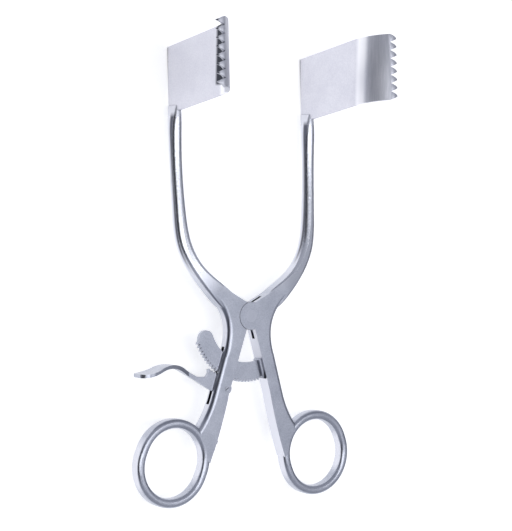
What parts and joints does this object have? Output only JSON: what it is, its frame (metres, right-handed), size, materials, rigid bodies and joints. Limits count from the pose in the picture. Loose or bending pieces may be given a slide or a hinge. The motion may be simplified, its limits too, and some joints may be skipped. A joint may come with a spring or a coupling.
{
  "type": "self-retaining hand retractor",
  "caption": "Self-retaining hand retractor: two ringed shanks in a box lock with a ratchet bar and a thumb release spread two broad blades with rolled, toothed lips.",
  "frame": {"origin": "on the box lock's axis, in the plane of the joint's flat back face", "axes": "+Z out of the joint's front face, the way the blades stand; +Y from the rings towards the blades; +X to the right shank, the one that carries the ratchet bar"},
  "size_m": [0.1018, 0.1836, 0.05],
  "materials": {
    "shank_steel": "satin",
    "blade_steel": "satin",
    "ratchet_steel": "satin",
    "screw_steel": "polished"
  },
  "bodies": {
    "left_half": {"left_shank": "shank_steel", "left_blade": "blade_steel", "lever_pivot_screw": "screw_steel", "leaf_spring": "ratchet_steel", "spring_screw": "screw_steel"},
    "right_half": {"right_shank": "shank_steel", "right_blade": "blade_steel", "ratchet_bar": "ratchet_steel", "box_lock_rivet": "screw_steel"},
    "lever": {"release_lever": "ratchet_steel"}
  },
  "joints": [
    {"name": "box_lock", "type": "hinge", "parent": "left_half", "child": "right_half", "pos_m": [0, 0, 0.00275], "axis": [0, 0, 1], "range_deg": [-27.2, 30.6]},
    {"name": "release_lever", "type": "hinge", "parent": "left_half", "child": "lever", "pos_m": [-0.0109, -0.0281, 0.00275], "axis": [0, 0, 1], "range_deg": [-8, 12], "stiffness_Nm_per_rad": 0.05}
  ]
}
